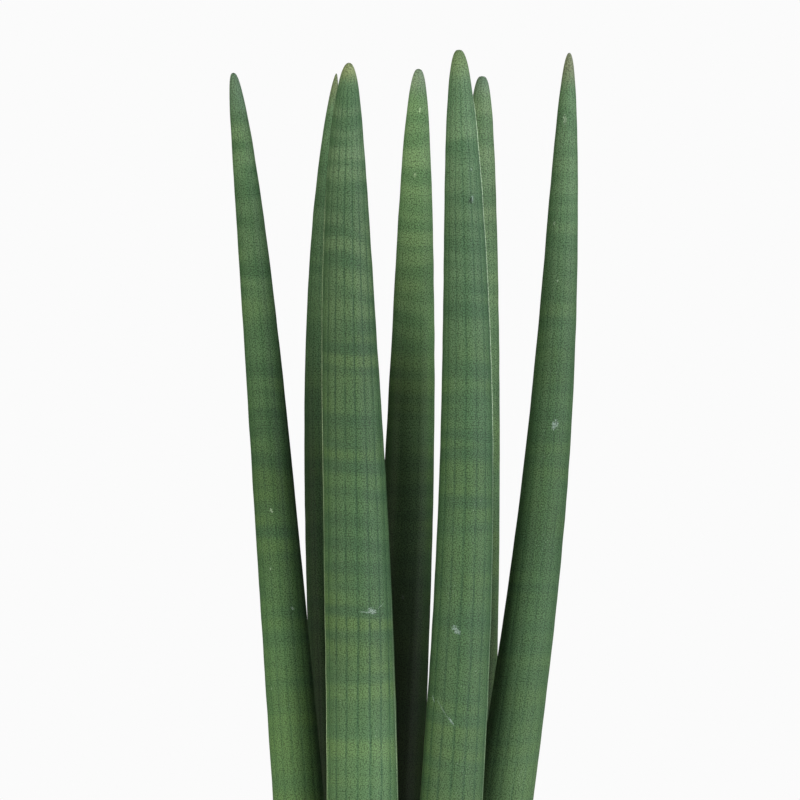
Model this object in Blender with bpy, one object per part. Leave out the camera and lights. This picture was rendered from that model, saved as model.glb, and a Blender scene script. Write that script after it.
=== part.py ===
"""Cylindrical snake plant: seven round leaves on one rhizome, in a soil-filled terracotta pot."""

from math import comb, cos, exp, pi, sin, tau

import bmesh
import bpy
from mathutils import Vector

MM = 0.001
GAP = 0.3 * MM

# Pot, a plain 14 cm terracotta pot. Radii and heights from the middle of its underside.
POT_HEIGHT = 125 * MM
POT_BASE_RADIUS = 48 * MM
POT_BODY_TOP_RADIUS = 65.5 * MM
RIM_BOTTOM = 97 * MM
RIM_BOTTOM_RADIUS = 69 * MM
RIM_TOP_RADIUS = 71 * MM
POT_FLOOR = 8 * MM
INNER_FLOOR_RADIUS = 42 * MM
INNER_TOP_RADIUS = 64.5 * MM
DRAIN_RADIUS = 9 * MM
EDGE_RADIUS = 2 * MM
POT_STEPS = 48

# Soil, filled to a finger's width below the rim.
SOIL_LEVEL = 108 * MM
SOIL_RIPPLE = 1.2 * MM
SOIL_RINGS = 5
SOIL_STEPS = 36

# Leaves. The stub is the part of a leaf below the soil.
STUB_DEPTH = 26 * MM
STUB_NARROWING = 0.25
STUB_RINGS = (1.0, 0.5)
HOLE_SIDES = 18
HOLE_REACH = 1.5 * MM
HOLE_TOP = 0.04
SHARP_ANGLE = 1.2
SECTION_DEPTH = 0.9
GROOVES = 18
GROOVE_SHARE = 0.035
BASE_NARROWING = 0.25
BASE_START = 0.62
CHANNEL_DEPTH = 0.14
CHANNEL_WIDTH = 0.55
CHANNEL_TOP = 0.35
LEAF_SIDES = 2 * GROOVES
LEAF_RINGS = 20
TIP_CROWDING = 1.7

# Each leaf's centre line, soil to tip, as control points in mm: side is x, depth is y. Height is
# above the soil. Fullness and bluntness shape the taper: a blunt tip has a low bluntness power.
LEAVES = {
    "leaf_far_left": dict(
        side=(-31, -31, -47.5, -49.5, -64), depth=(-1, -4, 0), height=434,
        width=23, fullness=1.0, bluntness=0.38,
    ),
    "leaf_back_left": dict(
        side=(-25, -19, -27, -38.5, -25.5), depth=(27, 32, 12), height=434.5,
        width=20.5, fullness=2.0, bluntness=0.56,
    ),
    "leaf_front_left": dict(
        side=(-12.5, -18, -9.5, -25.5, -20.5), depth=(-21, -26, -12), height=437,
        width=27.5, fullness=2.75, bluntness=0.44,
    ),
    "leaf_back_centre": dict(
        side=(-5, -17, 6, 2.5, 5.5), depth=(11, 17, 8), height=436,
        width=28, fullness=1.0, bluntness=0.375,
    ),
    "leaf_front_right": dict(
        side=(12, 6, 31, 23.5, 20.5), depth=(-19, -26, -10), height=442,
        width=25, fullness=1.8, bluntness=0.365,
    ),
    "leaf_back_right": dict(
        side=(19, 19, 31, 27.5, 29.5), depth=(25, 26, 12), height=433.5,
        width=20.5, fullness=1.9, bluntness=0.33,
    ),
    "leaf_far_right": dict(
        side=(25.5, 18, 57.5, 57.5, 62), depth=(3, 2, 0), height=441.5,
        width=26, fullness=1.15, bluntness=0.45,
    ),
}

# Rhizome, curled under the leaf bases in this order, with one branch and roots hanging from it.
RHIZOME_ORDER = (
    "leaf_back_left", "leaf_far_left", "leaf_front_left", "leaf_front_right",
    "leaf_far_right", "leaf_back_right",
)
RHIZOME_BRANCH = ("leaf_back_left", "leaf_back_centre")
RHIZOME_RADIUS = 7 * MM
RHIZOME_SIDES = 8
RHIZOME_STEPS = 4
ROOTS = 9
ROOT_RADIUS = 1.6 * MM
ROOT_SIDES = 5
ROOT_DROP = 34 * MM
ROOT_SPREAD = 9 * MM
ROOT_SWAY = 2 * MM
ROOT_TURN = 2.4
ROOT_STEPS = 4

COLOURS = {
    "terracotta": ((0.46, 0.19, 0.10), 0.85),
    "soil": ((0.045, 0.030, 0.020), 0.95),
    "leaf": ((0.085, 0.150, 0.062), 0.5),
    "rhizome": ((0.42, 0.27, 0.14), 0.7),
}


def clear_scene():
    for thing in list(bpy.data.objects):
        bpy.data.objects.remove(thing, do_unlink=True)


def make_material(name):
    colour, roughness = COLOURS[name]
    material = bpy.data.materials.new(name)
    material.use_nodes = True
    shader = material.node_tree.nodes["Principled BSDF"]
    shader.inputs["Base Color"].default_value = (*colour, 1)
    shader.inputs["Roughness"].default_value = roughness
    shader.inputs["Metallic"].default_value = 0
    return material


def add_object(name, mesh, material=None):
    thing = bpy.data.objects.new(name, mesh)
    bpy.context.collection.objects.link(thing)
    if material:
        mesh.materials.append(material)
    return thing


def as_cutter(thing):
    thing.hide_render = True
    thing.display_type = "WIRE"
    return thing


def boolean(thing, other, operation):
    modifier = thing.modifiers.new(f"{operation.lower()} {other.name}", "BOOLEAN")
    modifier.operation = operation
    modifier.object = other
    modifier.solver = "EXACT"


def ring_mesh(name, rings, bottom, top):
    """A closed mesh from rings of points, bottom to top, with a point at each end."""
    shape = bmesh.new()
    rows = [[shape.verts.new(point) for point in ring] for ring in rings]
    sides = len(rows[0])
    for low, high in zip(rows, rows[1:]):
        for i in range(sides):
            j = (i + 1) % sides
            # Quads are split the same way all round, so both faces of a wave agree.
            shape.faces.new((low[i], low[j], high[j]))
            shape.faces.new((low[i], high[j], high[i]))
    foot = shape.verts.new(bottom)
    head = shape.verts.new(top)
    for i in range(sides):
        j = (i + 1) % sides
        shape.faces.new((foot, rows[0][j], rows[0][i]))
        shape.faces.new((head, rows[-1][i], rows[-1][j]))
    mesh = bpy.data.meshes.new(name)
    shape.to_mesh(mesh)
    shape.free()
    return mesh


def bezier(points, t):
    last = len(points) - 1
    return sum(comb(last, i) * p * t**i * (1 - t) ** (last - i) for i, p in enumerate(points))


def ease(low, high, value):
    share = min(max((value - low) / (high - low), 0), 1)
    return share * share * (3 - 2 * share)


def leaf_centre(leaf, t):
    """The centre line at share t of the height above the soil."""
    side = bezier(leaf["side"], t)
    depth = bezier(leaf["depth"], t)
    return Vector((side, depth, leaf["height"] * t)) * MM + Vector((0, 0, SOIL_LEVEL))


def leaf_width(leaf, t):
    """The full width at share t: round at the tip, widest in the middle, narrower at the base."""
    taper = (1 - t ** leaf["fullness"]) ** leaf["bluntness"]
    return leaf["width"] * MM * taper * (1 - BASE_NARROWING * ease(BASE_START, 1, 1 - t))


def leaf_ring(leaf, t, sides, drop=0.0, grow=0.0):
    """A level section of the leaf, grooved, with a shallow channel facing the plant's middle."""
    centre = leaf_centre(leaf, t) - Vector((0, 0, drop))
    half = leaf_width(leaf, t) / 2 * (1 - STUB_NARROWING * drop / STUB_DEPTH)
    inward = Vector((-leaf["side"][0], -leaf["depth"][0])).normalized()
    channel = CHANNEL_DEPTH * (1 - ease(0, CHANNEL_TOP, t))
    ring = []
    for i in range(sides):
        angle = tau * i / sides
        away = Vector((cos(angle), sin(angle))).angle(inward)
        radius = half * (1 - GROOVE_SHARE * (1 - cos(GROOVES * angle)) / 2)
        radius *= 1 - channel * exp(-((away / CHANNEL_WIDTH) ** 2))
        radius += grow
        ring.append(centre + Vector((radius * cos(angle), radius * SECTION_DEPTH * sin(angle), 0)))
    return ring


def middle(ring):
    return sum(ring, Vector()) / len(ring)


def leaf_mesh(name, leaf):
    rings = [leaf_ring(leaf, 0, LEAF_SIDES, STUB_DEPTH * share) for share in STUB_RINGS]
    shares = [1 - (1 - i / LEAF_RINGS) ** TIP_CROWDING for i in range(LEAF_RINGS)]
    rings += [leaf_ring(leaf, t, LEAF_SIDES) for t in shares]
    return ring_mesh(name, rings, middle(rings[0]), leaf_centre(leaf, 1))


def hole_mesh(name, leaf):
    """The hole that a leaf's foot needs in the soil, from the rhizome's hollow up past the top."""
    rings = [leaf_ring(leaf, 0, HOLE_SIDES, STUB_DEPTH + HOLE_REACH, GAP)]
    rings += [leaf_ring(leaf, t, HOLE_SIDES, 0, GAP) for t in (0, HOLE_TOP)]
    return ring_mesh(name, rings, middle(rings[0]), middle(rings[-1]))


def add_leaves(material):
    for name, leaf in LEAVES.items():
        mesh = leaf_mesh(name, leaf)
        mesh.shade_smooth()
        mesh.set_sharp_from_angle(angle=SHARP_ANGLE)
        add_object(name, mesh, material)


def arc(centre, radius, start, end, steps=4):
    angles = [start + (end - start) * i / steps for i in range(steps + 1)]
    return [(centre[0] + radius * cos(a), centre[1] + radius * sin(a)) for a in angles]


def pot_outline():
    """Radius and height round the pot's wall, from the lip down the outside and up the inside."""
    edge = EDGE_RADIUS
    outline = arc((RIM_TOP_RADIUS - edge, POT_HEIGHT - edge), edge, pi / 2, 0)
    outline += arc((RIM_BOTTOM_RADIUS - edge / 2, RIM_BOTTOM + edge / 2), edge / 2, 0, -pi / 2, 2)
    outline += [(POT_BODY_TOP_RADIUS, RIM_BOTTOM)]
    outline += arc((POT_BASE_RADIUS - edge / 2, edge / 2), edge / 2, 0, -pi / 2, 2)
    outline += [(DRAIN_RADIUS, 0), (DRAIN_RADIUS, POT_FLOOR)]
    outline += arc((INNER_FLOOR_RADIUS - edge, POT_FLOOR + edge), edge, -pi / 2, 0, 2)
    outline += arc((INNER_TOP_RADIUS + edge, POT_HEIGHT - edge), edge, pi, pi / 2, 3)
    return outline


def add_pot(material):
    mesh = bpy.data.meshes.new("pot")
    points = [(radius, 0, height) for radius, height in pot_outline()]
    count = len(points)
    mesh.from_pydata(points, [(i, (i + 1) % count) for i in range(count)], [])
    pot = add_object("pot", mesh, material)
    screw = pot.modifiers.new("turn", "SCREW")
    screw.steps = POT_STEPS
    screw.render_steps = POT_STEPS
    screw.use_merge_vertices = True
    screw.merge_threshold = 0.0001


def inner_radius(height):
    """The pot's inner radius at this height."""
    share = (height - POT_FLOOR) / (POT_HEIGHT - POT_FLOOR)
    return INNER_FLOOR_RADIUS + (INNER_TOP_RADIUS - INNER_FLOOR_RADIUS) * share


def soil_height(x, y):
    """The soil's slightly uneven top."""
    waves = sin(x / (9 * MM) + 1.3) * cos(y / (11 * MM)) + 0.6 * sin((x - 2 * y) / (13 * MM))
    return SOIL_LEVEL + SOIL_RIPPLE * waves


def soil_ring(radius, height=None):
    ring = []
    for i in range(SOIL_STEPS):
        angle = tau * i / SOIL_STEPS
        x, y = radius * cos(angle), radius * sin(angle)
        ring.append(Vector((x, y, soil_height(x, y) if height is None else height)))
    return ring


def add_soil(material):
    wall_gap = 2 * GAP
    floor = POT_FLOOR + GAP
    corner = floor + EDGE_RADIUS
    rings = [
        soil_ring(INNER_FLOOR_RADIUS - EDGE_RADIUS - wall_gap, floor),
        soil_ring(inner_radius(corner) - wall_gap, corner),
    ]
    edge = inner_radius(SOIL_LEVEL) - wall_gap
    rings += [soil_ring(edge * (1 - i / SOIL_RINGS)) for i in range(SOIL_RINGS)]
    foot, head = Vector((0, 0, floor)), Vector((0, 0, soil_height(0, 0)))
    soil = add_object("soil", ring_mesh("soil", rings, foot, head), material)
    for name, leaf in LEAVES.items():
        hole = add_object(f"hole_{name}", hole_mesh(f"hole_{name}", leaf))
        boolean(soil, as_cutter(hole), "DIFFERENCE")
    return soil


def tube_mesh(name, path, radii, sides):
    """A round tube along a path, pinched to a point at each end."""
    rings = []
    across = Vector((0, 0, 1)).cross(path[1] - path[0])
    if across.length < 1e-6:
        across = Vector((1, 0, 0))
    for i, (point, radius) in enumerate(zip(path, radii)):
        along = (path[min(i + 1, len(path) - 1)] - path[max(i - 1, 0)]).normalized()
        across = (across - along * across.dot(along)).normalized()
        third = along.cross(across)
        angles = [tau * k / sides for k in range(sides)]
        rings.append([point + (across * cos(a) + third * sin(a)) * radius for a in angles])
    first = path[0] + (path[0] - path[1]).normalized() * radii[0] * 0.6
    last = path[-1] + (path[-1] - path[-2]).normalized() * radii[-1] * 0.6
    return ring_mesh(name, rings, first, last)


def curve_through(points, steps):
    """Points along a smooth Catmull-Rom curve through the given points."""
    ends = [2 * points[0] - points[1], *points, 2 * points[-1] - points[-2]]
    path = []
    for a, b, c, d in zip(ends, ends[1:], ends[2:], ends[3:]):
        for i in range(steps):
            t = i / steps
            path.append(
                0.5 * (2 * b + (c - a) * t + (2 * a - 5 * b + 4 * c - d) * t**2
                       + (3 * b - a - 3 * c + d) * t**3)
            )
    return [*path, points[-1]]


def rhizome_path(names):
    """The curve that passes under these leaves' bases."""
    height = SOIL_LEVEL - STUB_DEPTH - GAP - RHIZOME_RADIUS
    bases = [LEAVES[name] for name in names]
    knots = [Vector((b["side"][0] * MM, b["depth"][0] * MM, height)) for b in bases]
    return curve_through(knots, RHIZOME_STEPS)


def root_path(start, index):
    """A root that hangs from the rhizome and wanders outwards as it drops."""
    heading = ROOT_TURN * index
    path = []
    for i in range(ROOT_STEPS + 1):
        share = i / ROOT_STEPS
        reach = ROOT_SPREAD * share + ROOT_SWAY * sin(3 * share + index)
        step = Vector((reach * cos(heading), reach * sin(heading), -ROOT_DROP * share))
        path.append(start + step)
    return path


def rhizome_pieces(prefix, grow=0.0):
    """The rhizome and its roots as overlapping tubes, or with grow the hollow they need."""
    pieces = []
    for part, names in (("branch", RHIZOME_BRANCH), ("body", RHIZOME_ORDER)):
        path = rhizome_path(names)
        radii = [RHIZOME_RADIUS * (0.85 + 0.15 * cos(tau * i / RHIZOME_STEPS)) + grow
                 for i in range(len(path))]
        mesh = tube_mesh(prefix, path, radii, RHIZOME_SIDES)
        pieces.insert(0, add_object(f"{prefix}_{part}", mesh))
    for k in range(ROOTS):
        route = root_path(path[round((k + 0.5) * (len(path) - 1) / ROOTS)], k)
        radii = [ROOT_RADIUS * (1 - 0.5 * i / ROOT_STEPS) + grow for i in range(ROOT_STEPS + 1)]
        name = f"{prefix}_root_{k}"
        pieces.append(add_object(name, tube_mesh(name, route, radii, ROOT_SIDES)))
    return pieces


def add_rhizome(material, soil):
    body, *others = rhizome_pieces("rhizome")
    body.name = "rhizome"
    body.data.materials.append(material)
    for other in others:
        boolean(body, as_cutter(other), "UNION")
    for hollow in rhizome_pieces("hollow", GAP):
        boolean(soil, as_cutter(hollow), "DIFFERENCE")


def main():
    clear_scene()
    add_pot(make_material("terracotta"))
    soil = add_soil(make_material("soil"))
    add_rhizome(make_material("rhizome"), soil)
    add_leaves(make_material("leaf"))


main()
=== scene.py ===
"""Looks of the cylindrical snake plant in its terracotta pot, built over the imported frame."""

import random
from math import comb, cos, pi, radians, sin, tau

import bpy
import numpy as np
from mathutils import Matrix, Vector, noise

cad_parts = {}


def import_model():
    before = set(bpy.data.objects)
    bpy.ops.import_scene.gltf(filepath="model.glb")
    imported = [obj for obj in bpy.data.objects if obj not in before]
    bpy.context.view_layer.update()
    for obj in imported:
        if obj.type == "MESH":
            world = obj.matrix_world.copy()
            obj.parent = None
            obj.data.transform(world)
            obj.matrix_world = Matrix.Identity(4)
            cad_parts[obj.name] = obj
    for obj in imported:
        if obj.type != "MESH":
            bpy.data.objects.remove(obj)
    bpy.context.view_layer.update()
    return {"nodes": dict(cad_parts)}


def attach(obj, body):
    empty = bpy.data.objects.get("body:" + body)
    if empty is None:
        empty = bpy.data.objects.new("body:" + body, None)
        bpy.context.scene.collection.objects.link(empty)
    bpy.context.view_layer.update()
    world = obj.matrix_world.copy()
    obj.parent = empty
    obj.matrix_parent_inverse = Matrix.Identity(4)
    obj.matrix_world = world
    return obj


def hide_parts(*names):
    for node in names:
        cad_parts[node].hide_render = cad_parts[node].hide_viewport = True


MM = 0.001

# Camera: level, as in the photo, whose frame is 300 mm wide at the plant.
CAMERA_DISTANCE = 2.0
FRAME_WIDTH = 0.300
SENSOR = 36.0
CLIP_END = 100
VIEW_CENTRE = (-1.5 * MM, 419.25 * MM)

# Studio lights: azimuth from the camera's side towards its right, elevation, power in watts, tone.
LIGHT_AIM = Vector((0, 0, 0.36))
LIGHT_DISTANCE = 2.0
LIGHT_SIZE = (1.0, 1.2)
WARM = (1.0, 1.0, 0.80)
WHITE = (1.0, 1.0, 1.0)
LIGHTS = {
    "left_front": (-31, 8, 17.5, WARM),
    "left_side": (-70, 8, 13.5, WARM),
    "right_front": (31, 10, 9.5, WHITE),
    "right_middle": (50, 10, 18.5, WHITE),
    "right_side": (75, 8, 16.0, WHITE),
    "behind": (175, 35, 26.0, WHITE),
}

# The world's brightness as the camera sees it and as it lights the plant, and the floor.
BACKDROP = 0.965
FILL = 0.015
FLOOR_RADIUS = 1.8
FLOOR_SIDES = 96
FLOOR_COLOUR = (0.8, 0.8, 0.8)

# Pot, in its solid's sizes.
POT_HEIGHT = 125 * MM
POT_BASE_RADIUS = 48 * MM
POT_BODY_TOP_RADIUS = 65.5 * MM
RIM_BOTTOM = 97 * MM
RIM_BOTTOM_RADIUS = 69 * MM
RIM_TOP_RADIUS = 71 * MM
POT_FLOOR = 8 * MM
INNER_FLOOR_RADIUS = 42 * MM
INNER_TOP_RADIUS = 64.5 * MM
DRAIN_RADIUS = 9 * MM

# Its lip, its edges and its mesh.
LIP_RADIUS = 2.4 * MM
POT_EDGE = 1.2 * MM
POT_STEP = 1.2 * MM
POT_SIDES = 216
ARC_STEPS = 6

# The clay's relief. Waves: rise and size in mm. Chips in the lip: azimuth, size in mm.
CLAY_WAVES = ((0.22, 34), (0.05, 2.1))
TURNING_WIDTH = 3.1 * MM
TURNING_DEPTH = 0.09 * MM
TURNING_DRIFT = 0.5
TURNING_DRIFT_SIZE = 60 * MM
CHIPS = ((-68, 2.6), (-31, 1.7), (24, 2.1), (101, 3.0), (163, 2.0), (222, 2.4))
CHIP_ZONE = 6 * MM
CHIP_DROP = 0.5 * MM
CHIP_DEPTH = 0.22
CHIP_RAGGEDNESS = 0.35
CHIP_GRAIN = 1.1 * MM

# Soil and leaf forms, in their solids' values.
SOIL_LEVEL = 108 * MM
SOIL_RIPPLE = 1.2 * MM
SECTION_DEPTH = 0.9
BASE_NARROWING = 0.25
BASE_START = 0.62
CHANNEL_DEPTH = 0.14
CHANNEL_WIDTH = 0.55
CHANNEL_TOP = 0.35

# The soil's mesh, its crumbly top, whose lumps are share and size in mm, and its gaps to the pot.
SOIL_RINGS = 96
SOIL_SIDES = 300
SOIL_CRUMBLE = 1.3 * MM
SOIL_LUMPS = ((1, 6), (0.6, 2.4), (0.35, 1.1))
SOIL_GAP = 0.3 * MM
SOIL_FOOT_GAP = 2 * MM

# The leaf skins' mesh, and their grooves, gentle waves and the ridges raised under their painted
# rim highlights.
LEAF_SIDES = 108
LEAF_RINGS = 150
TIP_CROWDING = 1.5
STUB_DEPTH = 12 * MM
GROOVE_SHARE = 0.016
GROOVE_SHARPNESS = 4
SKIN_WAVE = 0.12 * MM
SKIN_WAVE_LENGTH = 9 * MM
SKIN_WAVE_HALF = 4 * MM
MARGIN_RISE = 0.25 * MM

# Loose bits on the soil: dark and pale colour, the size in mm of their grain, their number, their
# least and greatest size in mm, the least height of one as a share of its size, and the seed.
BITS = {
    "crumbs": dict(
        dark=(0.030, 0.019, 0.012), pale=(0.085, 0.055, 0.035), grain=0.5,
        count=700, sizes=(0.7, 2.2), flatness=0.55, seed=11,
    ),
    "bark": dict(
        dark=(0.080, 0.040, 0.022), pale=(0.190, 0.105, 0.060), grain=0.6,
        count=90, sizes=(1.2, 3.6), flatness=0.25, seed=12,
    ),
    "grit": dict(
        dark=(0.180, 0.160, 0.140), pale=(0.360, 0.330, 0.290), grain=0.4,
        count=110, sizes=(0.6, 1.7), flatness=0.55, seed=13,
    ),
    "perlite": dict(
        dark=(0.620, 0.610, 0.580), pale=(0.780, 0.770, 0.740), grain=0.4,
        count=80, sizes=(0.7, 1.9), flatness=0.65, seed=14,
    ),
}

# Their shapes: width and height as shares of their size, their lumps, and how they lie.
BIT_WIDTHS = (0.6, 0.95)
BIT_HEIGHT_SPREAD = 0.3
BIT_LUMP = 0.55
BIT_LUMP_COUNT = 1.3
BIT_SEED_REACH = 90
BIT_LIFT = 0.35
BIT_WALL_GAP = 0.6 * MM
BIT_SHARP_ANGLE = 0.7

# Each leaf's centre line, soil to tip, as control points in mm, in its solid's values: side is x,
# depth is y. Height is above the soil. Fullness and bluntness shape the taper, and a blunt tip has
# a low bluntness power.
LEAVES = {
    "leaf_far_left": dict(
        side=(-31, -31, -47.5, -49.5, -64), depth=(-1, -4, 0), height=434,
        width=23, fullness=1.0, bluntness=0.38,
    ),
    "leaf_back_left": dict(
        side=(-25, -19, -27, -38.5, -25.5), depth=(27, 32, 12), height=434.5,
        width=20.5, fullness=2.0, bluntness=0.56,
    ),
    "leaf_front_left": dict(
        side=(-12.5, -18, -9.5, -25.5, -20.5), depth=(-21, -26, -12), height=437,
        width=27.5, fullness=2.75, bluntness=0.44,
    ),
    "leaf_back_centre": dict(
        side=(-5, -17, 6, 2.5, 5.5), depth=(11, 17, 8), height=436,
        width=28, fullness=1.0, bluntness=0.375,
    ),
    "leaf_front_right": dict(
        side=(12, 6, 31, 23.5, 20.5), depth=(-19, -26, -10), height=442,
        width=25, fullness=1.8, bluntness=0.365,
    ),
    "leaf_back_right": dict(
        side=(19, 19, 31, 27.5, 29.5), depth=(25, 26, 12), height=433.5,
        width=20.5, fullness=1.9, bluntness=0.33,
    ),
    "leaf_far_right": dict(
        side=(25.5, 18, 57.5, 57.5, 62), depth=(3, 2, 0), height=441.5,
        width=26, fullness=1.15, bluntness=0.45,
    ),
}

# Colours, linear: of the leaves, the pot, the soil and the rhizome.
MID_GREEN = (0.066, 0.131, 0.063)
FRESH_GREEN = (0.082, 0.147, 0.060)
BAND_GREEN = (0.049, 0.102, 0.053)
# Paler top green: partly the leaf's own colour, partly painted light on the tops.
TOP_GREEN_AND_PAINTED_LIGHT = (0.100, 0.160, 0.092)
LOW_GREEN = (0.096, 0.153, 0.060)
LINE_GREEN = (0.030, 0.070, 0.036)
# Painted rim highlight, where light grazes a leaf's edge.
RIM_HIGHLIGHT = (0.420, 0.520, 0.370)
SCUFF = (0.230, 0.300, 0.280)
FLECK = (0.300, 0.380, 0.300)
NICK = (0.012, 0.026, 0.014)
SOIL_STAIN = (0.100, 0.070, 0.040)
DARK_CLAY = (0.420, 0.165, 0.085)
PALE_CLAY = (0.520, 0.225, 0.125)
CLAY_SPECK = (0.250, 0.120, 0.080)
FOOT_BLOOM = (0.700, 0.560, 0.470)
RIM_BLOOM = (0.640, 0.470, 0.380)
DARK_PEAT = (0.022, 0.014, 0.009)
PALE_PEAT = (0.075, 0.048, 0.030)
FIBRE = (0.160, 0.105, 0.065)
DARK_RHIZOME = (0.300, 0.160, 0.070)
PALE_RHIZOME = (0.520, 0.330, 0.170)

# How the materials are set. A noise is its size in mm (across, across and up, or one for all), its
# detail, its roughness, and a shift that keeps it apart from the others. A range or an edge is where
# a pattern starts and ends, dims are brightness, and a roughness of two is its least and greatest.
# Nearly all of a noise lies in its middle. A spot is one of a leaf's marks.
NOISE_MIDDLE = (0.3, 0.7)
SPOT_STREAKS = 1.9
SPOT_RAGGEDNESS = 0.5
SPOT_EDGE = (0.35, 1.1)
DOT_RANDOMNESS = 0.9

# Leaf skin, with its faint grain and streaks, its stipple of dots, and yellower patches. Each
# leaf's noises are shifted on by a step from the last one's.
FIRST_SHIFT = 1.0
SHIFT_STEP = 7.0
SKIN_ROUGHNESS = (0.44, 0.60)
SKIN_SPECULAR = 0.12
SKIN_BUMP = 0.06 * MM
SKIN_GRAIN = (0.5, 1, 0.5, 0)
SKIN_GRAIN_DIMS = (0.93, 1.07)
STREAKS = ((1.6, 1.6, 34), 2, 0.6, 3)
STREAK_RANGE = (0.32, 0.68)
STREAK_DIMS = (0.96, 1.04)
STIPPLE_SIZE = 0.56
STIPPLE_RANGE = (0.05, 0.75)
STIPPLE_DIMS = (1.44, 0.61)
STIPPLE_RISE = -0.5
PATCHES = ((42, 42, 22), 1, 0.5, 0)
PATCH_RANGE = (0.36, 0.70)

# Its greens high and low: the shares of the height where each starts and ends, and its strength.
# The paler top is partly the leaf's own colour and partly painted light on the tops.
TOP_RANGE = (0.62, 1.0)
TOP_STRENGTH = 0.9
LOW_RANGE = (0.62, 0.30)
LOW_STRENGTH = 0.75

# Its dark lines. The wobble and the edge are shares of the room between two lines.
LINE_STRENGTH = 0.85
LINE_WOBBLE = 0.04
LINE_WOBBLE_NOISE = ((6, 6, 26), 2, 0.5, 0)
LINE_EDGE = (0.01, 0.17)
LINE_DASHES = ((3, 3, 5), 2, 0.6, 5)
LINE_DASH_RANGE = (0.34, 0.60)
LINE_LEAST = 0.45

# Its cross bands, which are weaker low down. The low range is in metres above the soil.
BAND_SPACING = 9.2 * MM
BAND_DRIFT = 0.45
BAND_DRIFT_NOISE = ((120, 120, 60), 1, 0.5, 2)
BAND_FADING = ((45, 45, 14), 1, 0.5, 4)
BAND_FADING_RANGE = (0.36, 0.64)
BAND_FADING_STRENGTHS = (0.10, 0.95)
BAND_CLOUD = 0.70
BAND_CLOUD_NOISE = ((70, 70, 11), 0, 0.5, 6)
BAND_RANGE = (-1.2, 1.3)
BAND_LOW_RANGE = (0.15, 0.24)
BAND_LOW_STRENGTH = 0.5

# Its wax specks, its painted rim highlights, and its tip. A rim highlight's edge is in shares of one
# side's width, its fades are in shares of the height, and the tip's values are in tip lengths.
WAX_SPACING = 1.0
WAX_EDGE = (0.10, 0.22)
WAX_GROUPS = (9, 2, 0.5, 7)
WAX_GROUP_RANGE = (0.58, 0.70)
WAX_STRENGTH = 0.5
RIM_HIGHLIGHT_EDGE = (0.15, 0.62)
HIGHLIGHT_FADE_IN = 0.12
HIGHLIGHT_FADE_OUT = 0.03
RAGGED = (2.2, 3, 0.6, 0)
TIP_RAGGEDNESS = 0.15
TIP_START = 1.5
TIP_FULL = 0.3

# Its stain at the soil, and how its painted shade and light fade out, in shares of the height up
# the leaf and in shares of the width from its front to its back.
STAIN_RAGGEDNESS = 0.004
STAIN_RANGE = (0.012, 0.045)
STAIN_STRENGTH = 0.8
SIDES_RANGE = (0.68, 0.86)
FRONT_DEPTH = 0.3
BACK_STRENGTH = 0.25

# Clay, with mottles, streaks, grain, specks, and bloom at the foot and under the rim.
CLAY_ROUGHNESS = (0.78, 0.92)
CLAY_SPECULAR = 0.25
CLAY_BUMP = 0.12 * MM
CLAY_MOTTLES = (26, 3, 0.55, 0)
CLAY_STREAKS = ((60, 60, 2.4), 3, 0.6, 4)
CLAY_STREAK_DIMS = (0.92, 1.07)
CLAY_GRAIN = (0.7, 3, 0.7, 2)
CLAY_GRAIN_RANGE = (0.25, 0.75)
CLAY_GRAIN_DIMS = (0.82, 1.16)
SPECK_SPACING = 1.6
SPECK_SHIFT = 3
SPECK_EDGE = (0.10, 0.18)
SPECK_STRENGTH = 0.7
SPECK_DROP = 0.5
BLOOM_CLOUD = (11, 4, 0.65, 6)
FOOT_RAGGEDNESS = 14 * MM
FOOT_RANGE = (6 * MM, 30 * MM)
FOOT_STRENGTH = 0.65
FOOT_GRAIN_RANGE = (0.35, 0.6)
FOOT_GRAIN_LEAST = 0.4
RIM_RAGGEDNESS = 5 * MM
RIM_RANGE = (88 * MM, 96 * MM)
RIM_CLOUD_RANGE = (0.52, 0.68)
RIM_STRENGTH = 0.35

# Soil, its loose bits and the rhizome.
TONE_RANGE = (0.35, 0.65)
SOIL_ROUGHNESS = 0.95
SOIL_SPECULAR = 0.2
SOIL_BUMP = 0.5 * MM
CLODS = (4, 4, 0.7, 0)
FIBRES = ((0.5, 5, 5), 2, 0.6, 3)
FIBRE_RANGE = (0.62, 0.72)
FIBRE_STRENGTH = 0.6
SOIL_GRAIN = (0.6, 3, 0.7, 5)
SOIL_GRAIN_DIMS = (0.6, 1.4)
BIT_ROUGHNESS = 0.9
BIT_SPECULAR = 0.3
BIT_BUMP = 0.15 * MM
BIT_TONES = (3, 2, 0.5, 0)
BIT_GRAIN = (3, 0.7, 4)
BIT_GRAIN_DIMS = (0.72, 1.2)
RHIZOME_ROUGHNESS = 0.65
RHIZOME_SPECULAR = 0.35
RHIZOME_BUMP = 0.15 * MM
RHIZOME_RINGS = ((9, 9, 3), 3, 0.6, 0)
RHIZOME_RING_RANGE = (0.38, 0.62)
RHIZOME_GRAIN = (0.8, 3, 0.7, 2)
RHIZOME_GRAIN_DIMS = (0.8, 1.15)
FLOOR_ROUGHNESS = 0.8
FLOOR_SPECULAR = 0.2
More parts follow.
